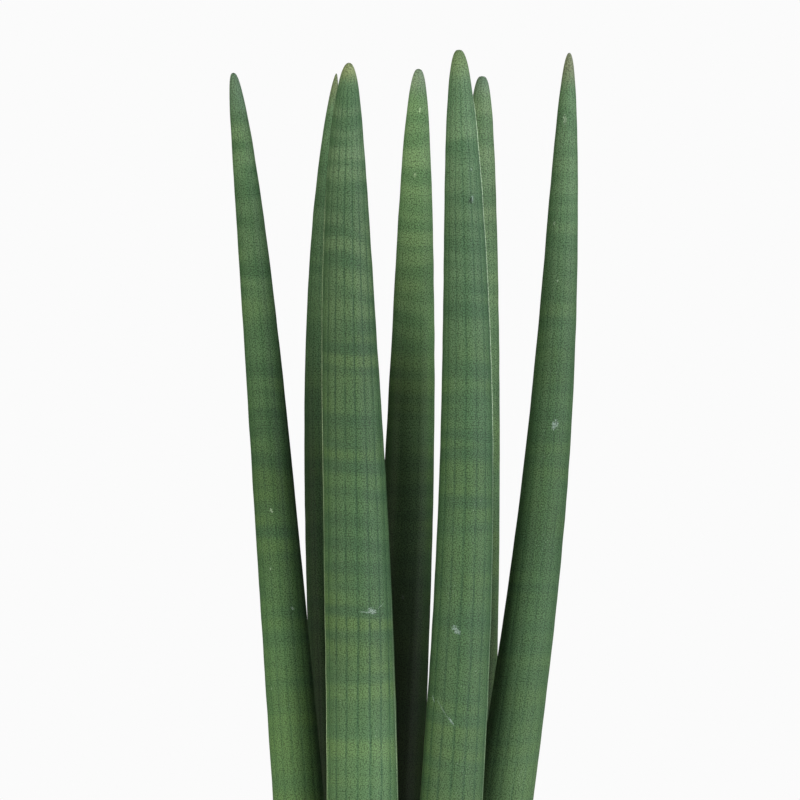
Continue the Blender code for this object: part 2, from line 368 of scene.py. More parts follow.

# What sets each leaf's skin apart. Angles go round the leaf, and -90 faces the camera.
# painted_shading: painted shade and light on its front, where the leaves shadow one another, and
# partly its own tone: brightness at these shares of the height. sides: painted shade and light in
# the same way round the lower part of the leaf, from its left edge by its front, right edge and back
# to its left edge again.
# bands: how strong its cross bands are. tint: what its colour is multiplied by.
# lines: their number, the angle of one at the soil, its turn up the whole leaf, strength.
# tip: its colour, its length in mm, its strength.
# marks: angle, share of the height, width and length in mm, lean to the left in degrees,
# strength, colour.
# rim_highlights: a painted pale rim highlight along an edge, with a ridge under it: angle, the
# shares of the height between which it shows, strength.
LEAF_LOOKS = {
    "leaf_far_left": dict(
        painted_shading=(
            (0, 1.12), (0.40, 1.12), (0.50, 0.98), (0.60, 0.82), (0.65, 0.69), (0.70, 0.75),
            (0.80, 0.97), (0.87, 0.99), (0.92, 1.17),
        ),
        sides=((0, 1.25), (0.20, 1.15), (0.34, 0.90), (0.45, 0.80), (0.75, 0.95), (1, 1.25)),
        bands=0.95,
        tint=(0.94, 1.0, 0.885),
        lines=(15, -105, 25, 0.5),
        tip=((0.104, 0.155, 0.125), 16, 0.6),
        marks=(
            (-65, 0.538, 0.8, 1.8, 70, 0.9, SCUFF), (-100, 0.622, 0.9, 1.9, 50, 1.0, FLECK),
            (-115, 0.572, 0.7, 1.1, 0, 0.6, FLECK), (-138, 0.469, 0.7, 1.1, 0, 0.5, FLECK),
        ),
    ),
    "leaf_back_left": dict(
        painted_shading=(
            (0, 0.33), (0.45, 0.34), (0.59, 0.48), (0.65, 0.50), (0.70, 0.67), (0.80, 0.98),
            (0.87, 1.06), (0.95, 1.38),
        ),
        bands=0.6,
        tint=(0.95, 1.0, 0.94),
        lines=(18, -90, 12, 0.6),
        tip=((0.150, 0.150, 0.085), 10, 0.6),
    ),
    "leaf_front_left": dict(
        painted_shading=(
            (0, 1.35), (0.40, 1.35), (0.52, 1.0), (0.66, 0.93), (0.73, 0.86), (0.85, 0.97),
            (0.95, 1.19), (0.99, 1.40),
        ),
        bands=0.95,
        tint=(1.0, 1.0, 0.965),
        lines=(18, -115, 46, 1.0),
        tip=((0.200, 0.230, 0.120), 6, 0.7),
        marks=(
            (-66, 0.534, 2.2, 3.4, 80, 0.75, SCUFF), (-77, 0.533, 0.6, 5.0, 86, 0.5, SCUFF),
            (-48, 0.538, 0.4, 3.8, -57, 0.4, SCUFF),
        ),
        rim_highlights=((-167, 0.30, 0.90, 0.75), (-13, 0.30, 0.56, 0.5)),
    ),
    "leaf_back_centre": dict(
        painted_shading=(
            (0, 0.17), (0.40, 0.18), (0.48, 0.215), (0.52, 0.275), (0.62, 0.50), (0.70, 0.81),
            (0.80, 1.74), (0.90, 2.35),
        ),
        sides=(
            (0, 0.75), (0.20, 0.78), (0.30, 1.0), (0.40, 1.60), (0.50, 1.80), (0.75, 1.1), (1, 0.75),
        ),
        bands=0.65,
        tint=(1.03, 1.0, 0.885),
        lines=(18, -90, 0, 0.25),
        tip=((0.095, 0.125, 0.108), 9, 0.7),
        marks=(
            (-91, 0.544, 1.2, 2.0, 60, 0.4, SCUFF), (-77, 0.964, 1.0, 1.8, 20, 0.4, FLECK),
            (-95, 0.908, 1.0, 1.6, -20, 0.4, FLECK),
        ),
    ),
    "leaf_front_right": dict(
        painted_shading=(
            (0, 1.0), (0.42, 0.98), (0.52, 0.93), (0.62, 0.92), (0.75, 0.98), (0.84, 1.05),
            (0.95, 1.32),
        ),
        bands=0.75,
        tint=(0.97, 1.0, 1.0),
        lines=(15, -95, 4, 0.8),
        tip=((0.165, 0.215, 0.100), 9, 0.5),
        marks=(
            (-101, 0.512, 2.2, 4.2, 55, 0.8, SCUFF), (-144, 0.454, 0.6, 2.8, 33, 0.7, SCUFF),
            (-101, 0.436, 0.8, 3.2, 41, 0.9, SCUFF), (-120, 0.446, 0.5, 9.0, 40, 0.35, SCUFF),
            (-63, 0.873, 1.1, 2.6, 0, 0.6, SCUFF), (-69, 0.872, 1.5, 2.4, 0, 1.0, NICK),
            (-62, 0.898, 0.7, 1.2, 30, 0.4, SCUFF),
        ),
        rim_highlights=((-13, 0.60, 0.975, 1.0), (-13, 0.30, 0.72, 0.4)),
    ),
    "leaf_back_right": dict(
        painted_shading=(
            (0, 0.9), (0.50, 1.1), (0.58, 2.0), (0.65, 2.6), (0.75, 2.15), (0.83, 2.08),
            (0.88, 1.80), (0.95, 1.85),
        ),
        bands=0.6,
        tint=(1.10, 1.0, 0.965),
        lines=(18, -90, 10, 0.6),
        tip=((0.072, 0.120, 0.090), 7, 0.65),
    ),
    "leaf_far_right": dict(
        painted_shading=(
            (0, 1.1), (0.38, 1.1), (0.46, 0.99), (0.52, 0.96), (0.58, 0.85), (0.70, 0.89),
            (0.80, 0.96), (0.87, 1.18), (0.93, 1.22), (0.98, 1.45),
        ),
        bands=0.5,
        tint=(0.98, 1.0, 0.96),
        lines=(15, -78, 0, 0.45),
        tip=((0.145, 0.140, 0.102), 11, 0.65),
        marks=(
            (-78, 0.684, 2.4, 4.0, -40, 0.8, SCUFF), (-124, 0.855, 0.8, 1.4, 0, 0.7, FLECK),
            (-99, 0.806, 0.8, 1.0, 0, 0.6, FLECK), (-102, 0.943, 1.8, 3.4, -30, 0.4, FLECK),
        ),
    ),
}


def bezier(points, t):
    last = len(points) - 1
    return sum(comb(last, i) * p * t**i * (1 - t) ** (last - i) for i, p in enumerate(points))


def ease(low, high, value):
    share = np.clip((value - low) / (high - low), 0, 1)
    return share * share * (3 - 2 * share)


def smooth_mesh(name, points, faces):
    mesh = bpy.data.meshes.new(name)
    mesh.from_pydata(points, [], faces)
    mesh.shade_smooth()
    return mesh


def add_object(name, mesh, material):
    mesh.materials.append(material)
    thing = bpy.data.objects.new(name, mesh)
    bpy.context.collection.objects.link(thing)
    return thing


def ride_for(thing, slot, *nodes):
    """The piece moves with the plant and stands for the nodes, which are hidden. The slot is not
    used.
    """
    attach(thing, "root")
    if nodes:
        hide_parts(*nodes)


class Paint:
    """A material in the making. Each method adds nodes and gives the output to use further."""

    def __init__(self, name, specular, shift=0.0):
        """The shift is added to that of each noise, so that no two leaves are alike."""
        self.material = bpy.data.materials.new(name)
        self.material.use_nodes = True
        self.nodes = self.material.node_tree.nodes
        self.links = self.material.node_tree.links
        self.shader = self.nodes["Principled BSDF"]
        self.shader.inputs["Specular IOR Level"].default_value = specular
        self.place = self.nodes.new("ShaderNodeTexCoord").outputs["Object"]
        self.shift = shift

    def feed(self, value, socket):
        if isinstance(value, bpy.types.NodeSocket):
            self.links.new(value, socket)
        elif isinstance(value, tuple) and len(socket.default_value) == 4:
            socket.default_value = (*value, 1)
        else:
            socket.default_value = value

    def attribute(self, name):
        node = self.nodes.new("ShaderNodeAttribute")
        node.attribute_name = name
        return node.outputs["Vector"]

    def split(self, vector):
        node = self.nodes.new("ShaderNodeSeparateXYZ")
        self.feed(vector, node.inputs[0])
        return node.outputs

    def math(self, operation, *values):
        node = self.nodes.new("ShaderNodeMath")
        node.operation = operation
        for value, socket in zip(values, node.inputs):
            self.feed(value, socket)
        return node.outputs[0]

    def join(self, x, y):
        node = self.nodes.new("ShaderNodeCombineXYZ")
        self.feed(x, node.inputs["X"])
        self.feed(y, node.inputs["Y"])
        return node.outputs[0]

    def scaled(self, place, size, shift=0.0):
        """The place in lengths of this size in mm: across, across and up, or one for all."""
        sizes = size if isinstance(size, tuple) else (size,) * 3
        mapping = self.nodes.new("ShaderNodeMapping")
        self.feed(place, mapping.inputs["Vector"])
        mapping.inputs["Location"].default_value = (shift, 2 * shift, 3 * shift)
        mapping.inputs["Scale"].default_value = [1 / (s * MM) for s in sizes]
        return mapping.outputs[0]

    def noise(self, size, detail, roughness, shift):
        """Cloudy noise."""
        node = self.nodes.new("ShaderNodeTexNoise")
        node.inputs["Scale"].default_value = 1
        node.inputs["Detail"].default_value = detail
        node.inputs["Roughness"].default_value = roughness
        place = self.scaled(self.place, size, self.shift + shift)
        self.feed(place, node.inputs["Vector"])
        return node.outputs["Fac"]

    def specks(self, spacing, shift=0.0):
        """Distance from the nearest of many points strewn through the piece."""
        node = self.nodes.new("ShaderNodeTexVoronoi")
        node.inputs["Scale"].default_value = 1
        place = self.scaled(self.place, spacing, self.shift + shift)
        self.feed(place, node.inputs["Vector"])
        return node.outputs["Distance"]

    def dots(self, flat, spacing):
        """Distance from the nearest of many dots strewn over the flattened skin."""
        node = self.nodes.new("ShaderNodeTexVoronoi")
        node.voronoi_dimensions = "2D"
        node.inputs["Scale"].default_value = 1
        node.inputs["Randomness"].default_value = DOT_RANDOMNESS
        self.feed(self.scaled(flat, spacing), node.inputs["Vector"])
        return node.outputs["Distance"]

    def spot(self, flat, centre, size, turn, strength):
        """A streaky spot on the flattened skin, which fades out past its ragged edge."""
        place = self.nodes.new("ShaderNodeMapping")
        place.vector_type = "TEXTURE"
        self.feed(flat, place.inputs["Vector"])
        place.inputs["Location"].default_value = (*centre, 0)
        place.inputs["Rotation"].default_value = (0, 0, radians(turn))
        place.inputs["Scale"].default_value = (size[0] / 2, size[1] / 2, 1)
        length = self.nodes.new("ShaderNodeVectorMath")
        length.operation = "LENGTH"
        self.feed(place.outputs[0], length.inputs[0])
        streaks = self.nodes.new("ShaderNodeTexNoise")
        streaks.inputs["Scale"].default_value = SPOT_STREAKS
        self.feed(place.outputs[0], streaks.inputs["Vector"])
        ragged = self.swing(streaks.outputs["Fac"], -SPOT_RAGGEDNESS, SPOT_RAGGEDNESS)
        off = self.math("ADD", length.outputs["Value"], ragged)
        return self.span(off, *SPOT_EDGE, strength, 0.0)

    def span(self, value, low, high, first=0.0, last=1.0):
        """The value eased from first to last as it goes from low to high, and held beyond."""
        node = self.nodes.new("ShaderNodeMapRange")
        node.interpolation_type = "SMOOTHSTEP"
        for item, socket in zip((value, low, high, first, last), node.inputs):
            self.feed(item, socket)
        return node.outputs[0]

    def swing(self, value, first, last):
        """A noise made to swing from first to last."""
        return self.span(value, *NOISE_MIDDLE, first, last)

    def mix(self, share, first, second, blend="MIX"):
        node = self.nodes.new("ShaderNodeMix")
        node.data_type = "RGBA"
        node.blend_type = blend
        self.feed(share, node.inputs["Factor"])
        self.feed(first, node.inputs[6])
        self.feed(second, node.inputs[7])
        return node.outputs[2]

    def ramp(self, value, stops):
        """A grey that goes smoothly through these (value, brightness) stops."""
        node = self.nodes.new("ShaderNodeValToRGB")
        node.color_ramp.interpolation = "EASE"
        marks = node.color_ramp.elements
        marks.remove(marks[1])
        for number, (place, grey) in enumerate(stops):
            mark = marks[0] if number == 0 else marks.new(place)
            mark.position = place
            mark.color = (grey, grey, grey, 1)
        self.feed(value, node.inputs["Fac"])
        return node.outputs["Color"]

    def dim(self, colour, factor):
        return self.mix(1.0, colour, factor, "MULTIPLY")

    def finish(self, colour, roughness, height=None, depth=0.0):
        """The finished material. The height stands for a relief of this depth."""
        self.feed(colour, self.shader.inputs["Base Color"])
        self.feed(roughness, self.shader.inputs["Roughness"])
        if height:
            bump = self.nodes.new("ShaderNodeBump")
            bump.inputs["Strength"].default_value = 1.0
            bump.inputs["Distance"].default_value = depth
            self.feed(height, bump.inputs["Height"])
            self.feed(bump.outputs[0], self.shader.inputs["Normal"])
        return self.material


def leaf_half(leaf, share):
    """Half the leaf's width at this share of its height."""
    taper = (1 - share ** leaf["fullness"]) ** leaf["bluntness"]
    return leaf["width"] * MM / 2 * taper * (1 - BASE_NARROWING * ease(BASE_START, 1, 1 - share))


def margin_side(turn):
    """The number of the leaf's side on which a painted rim highlight and its ridge at this angle
    stand.
    """
    return round(radians(turn) * LEAF_SIDES / tau)


def leaf_lines(paint, angle, along, lines):
    """The thin dark lines along the leaf, one in each groove, broken up along its length."""
    count, start, turn, strength = lines
    wobble = paint.swing(paint.noise(*LINE_WOBBLE_NOISE), -LINE_WOBBLE, LINE_WOBBLE)
    angle = paint.math("SUBTRACT", angle, paint.math("MULTIPLY", along, radians(turn)))
    turns = paint.math("MULTIPLY", paint.math("SUBTRACT", angle, radians(start)), count / tau)
    turns = paint.math("ADD", paint.math("ADD", turns, wobble), 0.5)
    off_line = paint.math("ABSOLUTE", paint.math("SUBTRACT", paint.math("FRACT", turns), 0.5))
    line = paint.span(off_line, *LINE_EDGE, strength, 0.0)
    dashes = paint.span(paint.noise(*LINE_DASHES), *LINE_DASH_RANGE, LINE_LEAST, 1.0)
    return paint.math("MULTIPLY", line, dashes)


def leaf_bands(paint, height, strength):
    """Soft dark cross bands at a fairly even spacing, which wander, fade and come back."""
    drift = paint.swing(paint.noise(*BAND_DRIFT_NOISE), -BAND_DRIFT, BAND_DRIFT)
    turns = paint.math("ADD", paint.math("DIVIDE", height, BAND_SPACING), drift)
    wave = paint.math("SINE", paint.math("MULTIPLY", turns, tau))
    fading = paint.noise(*BAND_FADING)
    fading = paint.span(fading, *BAND_FADING_RANGE, *BAND_FADING_STRENGTHS)
    even = paint.math("MULTIPLY", wave, fading)
    cloud = paint.swing(paint.noise(*BAND_CLOUD_NOISE), -BAND_CLOUD, BAND_CLOUD)
    bands = paint.math("ADD", even, cloud)
    bands = paint.span(bands, *BAND_RANGE, -strength / 2, strength / 2)
    fewer = paint.span(height, *BAND_LOW_RANGE, BAND_LOW_STRENGTH, 1.0)
    return paint.math("ADD", paint.math("MULTIPLY", bands, fewer), 0.5)


def leaf_wax(paint):
    """Sparse pale specks of wax, in loose groups."""
    speck = paint.span(paint.specks(WAX_SPACING), *WAX_EDGE, 1.0, 0.0)
    group = paint.span(paint.noise(*WAX_GROUPS), *WAX_GROUP_RANGE, 0.0, WAX_STRENGTH)
    return paint.math("MULTIPLY", speck, group)


def leaf_marks(paint, colour, leaf, flat, marks):
    """Scuffs, scratches and nicks at the places where this leaf has them."""
    for turn, place, width, length, lean, strength, tone in marks:
        shrink = leaf["width"] / 2 * MM / leaf_half(leaf, place)
        centre = (radians(turn) * leaf["width"] / 2 * MM, place * leaf["height"] * MM)
        size = (width * shrink * MM, length * MM)
        share = paint.spot(flat, centre, size, lean, strength)
        colour = paint.mix(share, colour, tone)
    return colour


def leaf_rim_highlights(paint, colour, angle, along, rim_highlights):
    """Painted rim highlights: pale lines along the leaf's edges, where light grazes them."""
    side = tau / LEAF_SIDES
    near, far = RIM_HIGHLIGHT_EDGE
    for turn, low, high, strength in rim_highlights:
        off_edge = paint.math("ABSOLUTE", paint.math("SUBTRACT", angle, margin_side(turn) * side))
        line = paint.span(off_edge, near * side, far * side, strength, 0.0)
        start = paint.span(along, low, low + HIGHLIGHT_FADE_IN)
        stop = paint.span(along, high - HIGHLIGHT_FADE_OUT, high, 1.0, 0.0)
        share = paint.math("MULTIPLY", paint.math("MULTIPLY", line, start), stop)
        colour = paint.mix(share, colour, RIM_HIGHLIGHT)
    return colour


def leaf_greens(paint, along, height, strength):
    """The skin's ground: green that changes up the leaf, paler at the top partly by painted light,
    yellower patches, bands, faint streaks.
    """
    patches = paint.span(paint.noise(*PATCHES), *PATCH_RANGE)
    colour = paint.mix(patches, MID_GREEN, FRESH_GREEN)
    # Paler towards the top: partly the leaf's own colour, partly painted light.
    colour = paint.mix(paint.span(along, *TOP_RANGE, 0.0, TOP_STRENGTH), colour, TOP_GREEN_AND_PAINTED_LIGHT)
    colour = paint.mix(paint.span(along, *LOW_RANGE, 0.0, LOW_STRENGTH), colour, LOW_GREEN)
    colour = paint.mix(leaf_bands(paint, height, strength), colour, BAND_GREEN)
    return paint.dim(colour, paint.span(paint.noise(*STREAKS), *STREAK_RANGE, *STREAK_DIMS))


def leaf_tip(paint, colour, along, height, tip):
    """The tip's own colour, which ends in a ragged edge."""
    tone, length, strength = tip
    reach = length / height
    off = TIP_RAGGEDNESS * reach
    end = paint.math("ADD", along, paint.swing(paint.noise(*RAGGED), -off, off))
    share = paint.span(end, 1 - TIP_START * reach, 1 - TIP_FULL * reach, 0.0, strength)
    return paint.mix(share, colour, tone)


def leaf_stain(paint, colour, along):
    """Brown where the leaf leaves the soil."""
    cloud = paint.swing(paint.noise(*RAGGED), -STAIN_RAGGEDNESS, STAIN_RAGGEDNESS)
    stain = paint.span(paint.math("ADD", along, cloud), *STAIN_RANGE, STAIN_STRENGTH, 0.0)
    return paint.mix(stain, colour, SOIL_STAIN)


def leaf_painted_shading(paint, colour, leaf, look, angle, along, depth):
    """The leaf's own tint, and painted shade and light up its front, partly its own tone, which fade
    out towards its back.
    """
    colour = paint.dim(colour, look["tint"])
    # Painted shade and light: darker where the leaves shadow one another, lighter where light
    # reaches.
    shaded = paint.dim(colour, paint.ramp(along, look["painted_shading"]))
    if "sides" in look:
        turned = paint.math("ADD", paint.math("DIVIDE", angle, tau), 0.5)
        sided = paint.dim(shaded, paint.ramp(turned, look["sides"]))
        shaded = paint.mix(paint.span(along, *SIDES_RANGE, 1.0, 0.0), shaded, sided)
    front = paint.span(depth, 0, FRONT_DEPTH * leaf["width"] * MM, 1.0, BACK_STRENGTH)
    return paint.mix(front, colour, shaded)


def leaf_material(name, leaf, look, shift):
    """Waxy green skin: soft cross bands, yellower patches, dark lines, fine stipple, scuffs, and
    painted rim highlights, shade and light.
    """
    paint = Paint(name, SKIN_SPECULAR, shift)
    grain = paint.noise(*SKIN_GRAIN)
    paint.place = paint.attribute("straight")
    x, y, z = paint.split(paint.place)
    angle = paint.math("ARCTAN2", y, x)
    along = paint.math("DIVIDE", z, leaf["height"] * MM)
    flat = paint.join(paint.math("MULTIPLY", angle, leaf["width"] / 2 * MM), z)
    girth = paint.split(paint.attribute("half"))[0]
    stipple = paint.dots(paint.join(paint.math("MULTIPLY", angle, girth), z), STIPPLE_SIZE)

    colour = leaf_greens(paint, along, z, look["bands"])
    lines = leaf_lines(paint, angle, along, look["lines"])
    colour = paint.mix(paint.math("MULTIPLY", lines, LINE_STRENGTH), colour, LINE_GREEN)
    colour = leaf_tip(paint, colour, along, leaf["height"], look["tip"])
    colour = paint.mix(leaf_wax(paint), colour, FLECK)
    # Painted rim highlights along the leaf's edges.
    colour = leaf_rim_highlights(paint, colour, angle, along, look.get("rim_highlights", ()))
    colour = leaf_marks(paint, colour, leaf, flat, look.get("marks", ()))
    colour = leaf_stain(paint, colour, along)
    colour = paint.dim(colour, paint.swing(grain, *SKIN_GRAIN_DIMS))
    colour = paint.dim(colour, paint.span(stipple, *STIPPLE_RANGE, *STIPPLE_DIMS))
    # Painted shade and light on the leaf's front, and its own tint.
    colour = leaf_painted_shading(paint, colour, leaf, look, angle, along, y)

    height = paint.math("SUBTRACT", paint.math("MULTIPLY", stipple, STIPPLE_RISE), lines)
    return paint.finish(colour, paint.swing(grain, *SKIN_ROUGHNESS), height, SKIN_BUMP)


def ring_shares():
    """The share of the height at each ring: the stub's end first, and closer towards the tip."""
    shares = 1 - (1 - np.arange(LEAF_RINGS) / LEAF_RINGS) ** TIP_CROWDING
    return np.concatenate([[0.0], shares])


def leaf_radius(leaf, look, shares, angle):
    """The section's radius: less the channel low on the inner side, and less the grooves."""
    count, start, turn, strength = look["lines"]
    inward = np.arctan2(-leaf["depth"][0], -leaf["side"][0])
    away = np.abs((angle - inward + pi) % tau - pi)
    channel = CHANNEL_DEPTH * (1 - ease(0, CHANNEL_TOP, shares))
    cut = 1 - channel[:, None] * np.exp(-((away / CHANNEL_WIDTH) ** 2))[None, :]
    off_line = angle[None, :] - radians(start) - radians(turn) * shares[:, None]
    groove = ((1 + np.cos(count * off_line)) / 2) ** GROOVE_SHARPNESS
    return leaf_half(leaf, shares)[:, None] * cut * (1 - GROOVE_SHARE * strength * groove)


def skin_waves(straight, half, shift):
    """How far gentle waves lift the skin, less where the leaf is thin."""
    off = Vector((shift, 0, 0))
    waves = [[noise.noise(Vector(p) / SKIN_WAVE_LENGTH + off) for p in row] for row in straight]
    return SKIN_WAVE * np.minimum(1, half / SKIN_WAVE_HALF)[:, None] * np.array(waves)


def raise_highlight_ridges(radius, look, shares):
    """Lifts a ridge under each painted rim highlight, along the stretch where it shows."""
    for turn, low, high, strength in look.get("rim_highlights", ()):
        start = ease(low, low + HIGHLIGHT_FADE_IN, shares)
        stop = 1 - ease(high - HIGHLIGHT_FADE_OUT, high, shares)
        radius[:, margin_side(turn) % LEAF_SIDES] += MARGIN_RISE * strength * (start * stop)


def leaf_points(leaf, look, shift):
    """Every point of the leaf's skin, ring by ring from below the soil, and the place that each
    would have on a straight leaf of even width, which the skin's pattern follows, and half the
    leaf's width at each."""
    shares = ring_shares()
    height = leaf["height"] * MM * shares
    height[0] -= STUB_DEPTH
    half = leaf_half(leaf, shares)
    angle = tau * np.arange(LEAF_SIDES) / LEAF_SIDES
    straight = np.empty((len(shares), LEAF_SIDES, 3))
    straight[..., 0] = leaf["width"] / 2 * MM * np.cos(angle)
    straight[..., 1] = leaf["width"] / 2 * MM * np.sin(angle)
    straight[..., 2] = height[:, None]
    radius = leaf_radius(leaf, look, shares, angle) + skin_waves(straight, half, shift)
    raise_highlight_ridges(radius, look, shares)
    points = np.empty_like(straight)
    side = bezier(leaf["side"], shares) * MM
    depth = bezier(leaf["depth"], shares) * MM
    points[..., 0] = side[:, None] + radius * np.cos(angle)
    points[..., 1] = depth[:, None] + radius * SECTION_DEPTH * np.sin(angle)
    points[..., 2] = SOIL_LEVEL + height[:, None]
    return points.reshape(-1, 3), straight.reshape(-1, 3), np.repeat(half, LEAF_SIDES)


def ring_faces(rings, sides):
    """Quads between each ring of points and the next."""
    faces = []
    for low in range(0, (rings - 1) * sides, sides):
        for i in range(sides):
            j = (i + 1) % sides
            faces.append((low + i, low + j, low + sides + j, low + sides + i))
    return faces


def store(mesh, name, vectors):
    """Gives each point of the mesh a vector of its own, which its material reads."""
    layer = mesh.attributes.new(name, "FLOAT_VECTOR", "POINT")
    layer.data.foreach_set("vector", vectors.ravel())


def leaf_object(name, leaf, look, shift):
    points, straight, halves = leaf_points(leaf, look, shift)
    top = np.array([leaf["side"][-1], leaf["depth"][-1], leaf["height"]]) * MM
    tip = top + (0, 0, SOIL_LEVEL)
    faces = ring_faces(LEAF_RINGS + 1, LEAF_SIDES)
    last, end = LEAF_RINGS * LEAF_SIDES, len(points)
    faces += [(last + i, last + (i + 1) % LEAF_SIDES, end) for i in range(LEAF_SIDES)]
    faces.append(tuple(reversed(range(LEAF_SIDES))))
    mesh = smooth_mesh(name, [*points.tolist(), tip.tolist()], faces)
    store(mesh, "straight", np.concatenate([straight, [(0, 0, leaf["height"] * MM)]]))
    store(mesh, "half", np.repeat([*halves, 0.0], 3))
    return add_object(name, mesh, leaf_material(name, leaf, look, shift))


def add_leaves():
    for number, (name, leaf) in enumerate(LEAVES.items()):
        shift = FIRST_SHIFT + SHIFT_STEP * number
        skin = leaf_object(f"{name}_skin", leaf, LEAF_LOOKS[name], shift)
        ride_for(skin, "leaf", name)


def arc(centre, radius, start, end):
    angles = [radians(start + (end - start) * i / ARC_STEPS) for i in range(ARC_STEPS + 1)]
    return [(centre[0] + radius * cos(a), centre[1] + radius * sin(a)) for a in angles]


def pot_outline():
    """Radius and height round the pot's wall: lip, outside, underside, drain, floor, inside."""
    lip, edge = LIP_RADIUS, POT_EDGE
    outline = arc((RIM_TOP_RADIUS - lip, POT_HEIGHT - lip), lip, 90, 0)
    outline += arc((RIM_BOTTOM_RADIUS - edge, RIM_BOTTOM + edge), edge, 0, -90)
    outline += arc((POT_BODY_TOP_RADIUS + edge, RIM_BOTTOM - edge), edge, 90, 180)
    outline += arc((POT_BASE_RADIUS - edge, edge), edge, 0, -90)
    outline += arc((DRAIN_RADIUS + edge, edge), edge, -90, -180)
    outline += arc((DRAIN_RADIUS + edge, POT_FLOOR - edge), edge, 180, 90)
    outline += arc((INNER_FLOOR_RADIUS - 3 * edge, POT_FLOOR + 3 * edge), 3 * edge, -90, 0)
    outline += arc((INNER_TOP_RADIUS + lip, POT_HEIGHT - lip), lip, 180, 90)
    return outline


def close_steps(outline, step):
    """The closed outline with points added, so that none is further than a step from the next."""
    points = []
    for (r0, z0), (r1, z1) in zip(outline, outline[1:] + outline[:1]):
        count = max(1, round(((r1 - r0) ** 2 + (z1 - z0) ** 2) ** 0.5 / step))
        points += [(r0 + (r1 - r0) * i / count, z0 + (z1 - z0) * i / count) for i in range(count)]
    return points


def chip_depth(point):
    """How deep the small chips in the lip's outer edge are at this point."""
    deepest = 0.0
    for turn, size in CHIPS:
        edge = Vector((cos(radians(turn)), sin(radians(turn)), 0)) * RIM_TOP_RADIUS
        reach = (point - edge - Vector((0, 0, POT_HEIGHT - CHIP_DROP))).length / (size * MM)
        ragged = CHIP_RAGGEDNESS * noise.noise(point / CHIP_GRAIN)
        deepest = max(deepest, (1 - (reach + ragged) ** 2) * size * CHIP_DEPTH * MM)
    return deepest


def pot_relief(radius, height, point):
    """How far the wall stands off its plain form: turning rings, uneven clay and chips."""
    lift = sum(rise * noise.noise(point / (size * MM)) for rise, size in CLAY_WAVES) * MM
    if height > POT_EDGE:
        drift = TURNING_DRIFT * noise.noise(point / TURNING_DRIFT_SIZE)
        lift += TURNING_DEPTH * sin(tau * (height / TURNING_WIDTH + drift))
    if height > POT_HEIGHT - CHIP_ZONE and radius > RIM_BOTTOM_RADIUS - LIP_RADIUS:
        lift -= chip_depth(point)
    return lift


def pot_object(material):
    outline = close_steps(pot_outline(), POT_STEP)
    points = []
    for k, (radius, height) in enumerate(outline):
        before, after = outline[k - 1], outline[(k + 1) % len(outline)]
        out = Vector((-(after[1] - before[1]), after[0] - before[0])).normalized()
        for i in range(POT_SIDES):
            way = Vector((cos(tau * i / POT_SIDES), sin(tau * i / POT_SIDES), 0))
            point = way * radius + Vector((0, 0, height))
            lift = pot_relief(radius, height, point)
            points.append(point + way * (out.x * lift) + Vector((0, 0, max(out.y * lift, -height))))
    faces = ring_faces(len(outline), POT_SIDES)
    last = (len(outline) - 1) * POT_SIDES
    for i in range(POT_SIDES):
        j = (i + 1) % POT_SIDES
        faces.append((last + i, last + j, j, i))
    mesh = smooth_mesh("pot_wall", points, [face[::-1] for face in faces])
    return add_object("pot_wall", mesh, material)


def bloom_on(paint, colour, height, cloud, grain):
    """Pale mineral bloom, low on the pot and in patches just under its rim."""
    ragged = paint.swing(cloud, -FOOT_RAGGEDNESS, FOOT_RAGGEDNESS)
    low = paint.span(paint.math("ADD", height, ragged), *FOOT_RANGE, FOOT_STRENGTH, 0.0)
    dusty = paint.span(grain, *FOOT_GRAIN_RANGE, FOOT_GRAIN_LEAST, 1.0)
    colour = paint.mix(paint.math("MULTIPLY", low, dusty), colour, FOOT_BLOOM)
    ragged = paint.swing(cloud, -RIM_RAGGEDNESS, RIM_RAGGEDNESS)
    high = paint.span(paint.math("ADD", height, ragged), *RIM_RANGE)
    patchy = paint.span(cloud, *RIM_CLOUD_RANGE, 0.0, RIM_STRENGTH)
    return paint.mix(paint.math("MULTIPLY", high, patchy), colour, RIM_BLOOM)


def pot_material():
    """Unglazed clay: mottled, streaked and speckled, with mineral bloom."""
    paint = Paint("terracotta", CLAY_SPECULAR)
    mottles = paint.span(paint.noise(*CLAY_MOTTLES), *TONE_RANGE)
    colour = paint.mix(mottles, DARK_CLAY, PALE_CLAY)
    colour = paint.dim(colour, paint.swing(paint.noise(*CLAY_STREAKS), *CLAY_STREAK_DIMS))
    grain = paint.noise(*CLAY_GRAIN)
    colour = paint.dim(colour, paint.span(grain, *CLAY_GRAIN_RANGE, *CLAY_GRAIN_DIMS))
    specks = paint.specks(SPECK_SPACING, SPECK_SHIFT)
    specks = paint.span(specks, *SPECK_EDGE, SPECK_STRENGTH, 0.0)
    colour = paint.mix(specks, colour, CLAY_SPECK)
    height = paint.split(paint.place)[2]
    colour = bloom_on(paint, colour, height, paint.noise(*BLOOM_CLOUD), grain)
    relief = paint.math("SUBTRACT", grain, paint.math("MULTIPLY", specks, SPECK_DROP))
    return paint.finish(colour, paint.swing(grain, *CLAY_ROUGHNESS), relief, CLAY_BUMP)


def inner_radius(height):
    share = (height - POT_FLOOR) / (POT_HEIGHT - POT_FLOOR)
    return INNER_FLOOR_RADIUS + (INNER_TOP_RADIUS - INNER_FLOOR_RADIUS) * share


def soil_height(x, y):
    """The soil's uneven, crumbly top. Its waves are the solid's."""
    waves = sin(x / (9 * MM) + 1.3) * cos(y / (11 * MM)) + 0.6 * sin((x - 2 * y) / (13 * MM))
    place = Vector((x, y, 0))
    lumps = sum(share * noise.noise(place / (size * MM)) for share, size in SOIL_LUMPS)
    return SOIL_LEVEL + SOIL_RIPPLE * waves + SOIL_CRUMBLE * lumps


